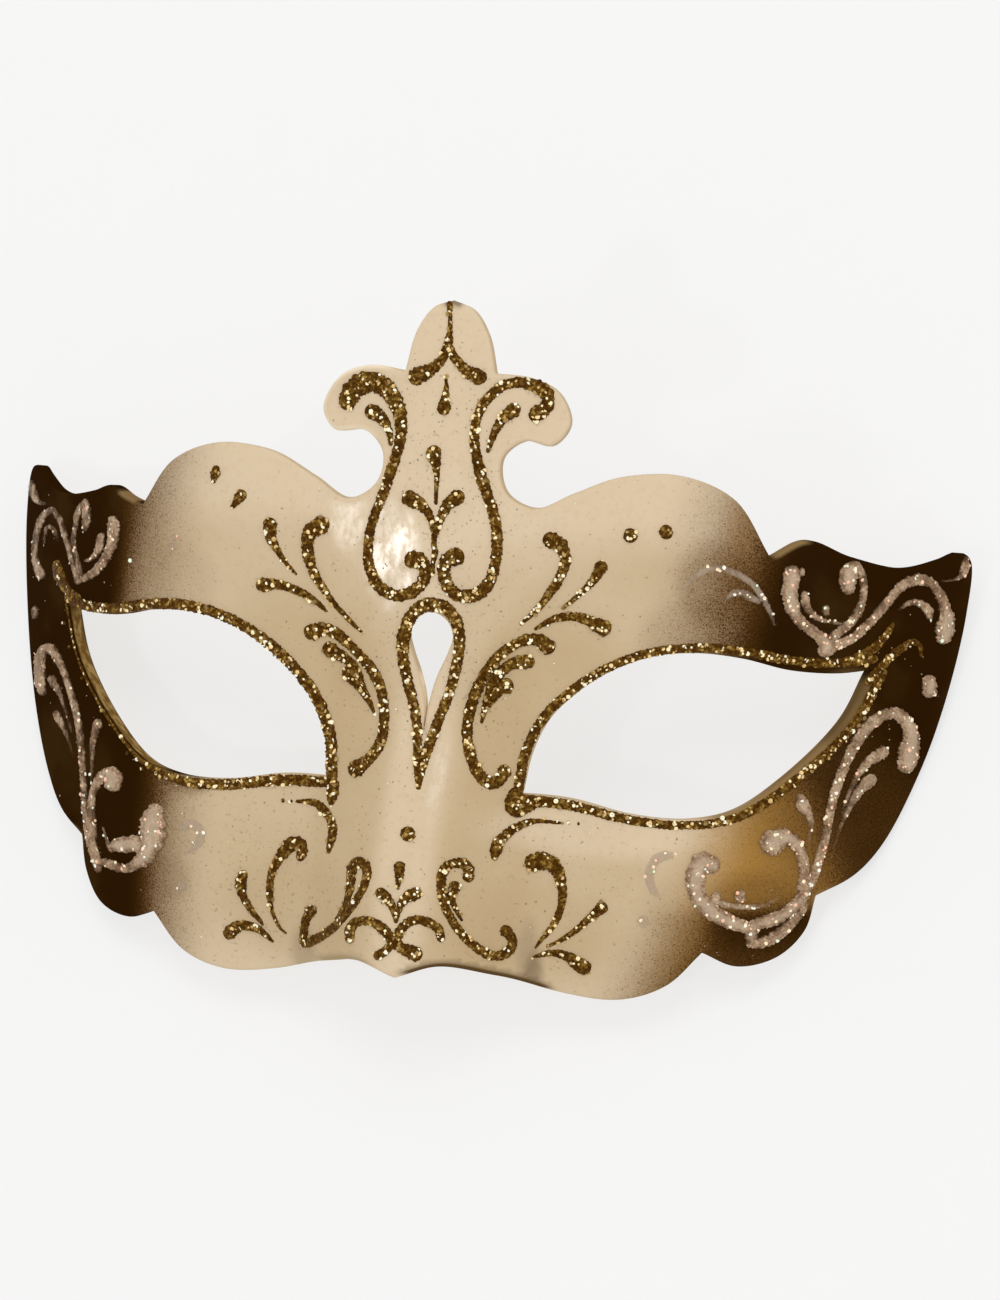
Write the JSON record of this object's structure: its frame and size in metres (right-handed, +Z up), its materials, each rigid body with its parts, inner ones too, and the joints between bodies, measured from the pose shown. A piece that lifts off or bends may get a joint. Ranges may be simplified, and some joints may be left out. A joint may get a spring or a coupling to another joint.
{
  "type": "half mask",
  "caption": "Colombina half mask of pressed paper with a scalloped edge, a three-lobed crest, two eye openings and a teardrop opening above the nose.",
  "frame": {"origin": "middle of the mask's bounding box at the table it lies on", "axes": "+X to the right of the picture across the eyes, +Y towards the crest, +Z up from the table, out of the face"},
  "size_m": [0.1876, 0.1208, 0.063],
  "materials": {
    "painted_shell": "ivory lacquer airbrushed to bronze and dark brown at the wings, satin gloss",
    "gold_glitter": "dried glue lines full of gold glitter",
    "pearl_glitter": "dried clear glue lines full of pearl glitter"
  },
  "bodies": {
    "root": {"mask_shell": "painted_shell"}
  },
  "joints": []
}
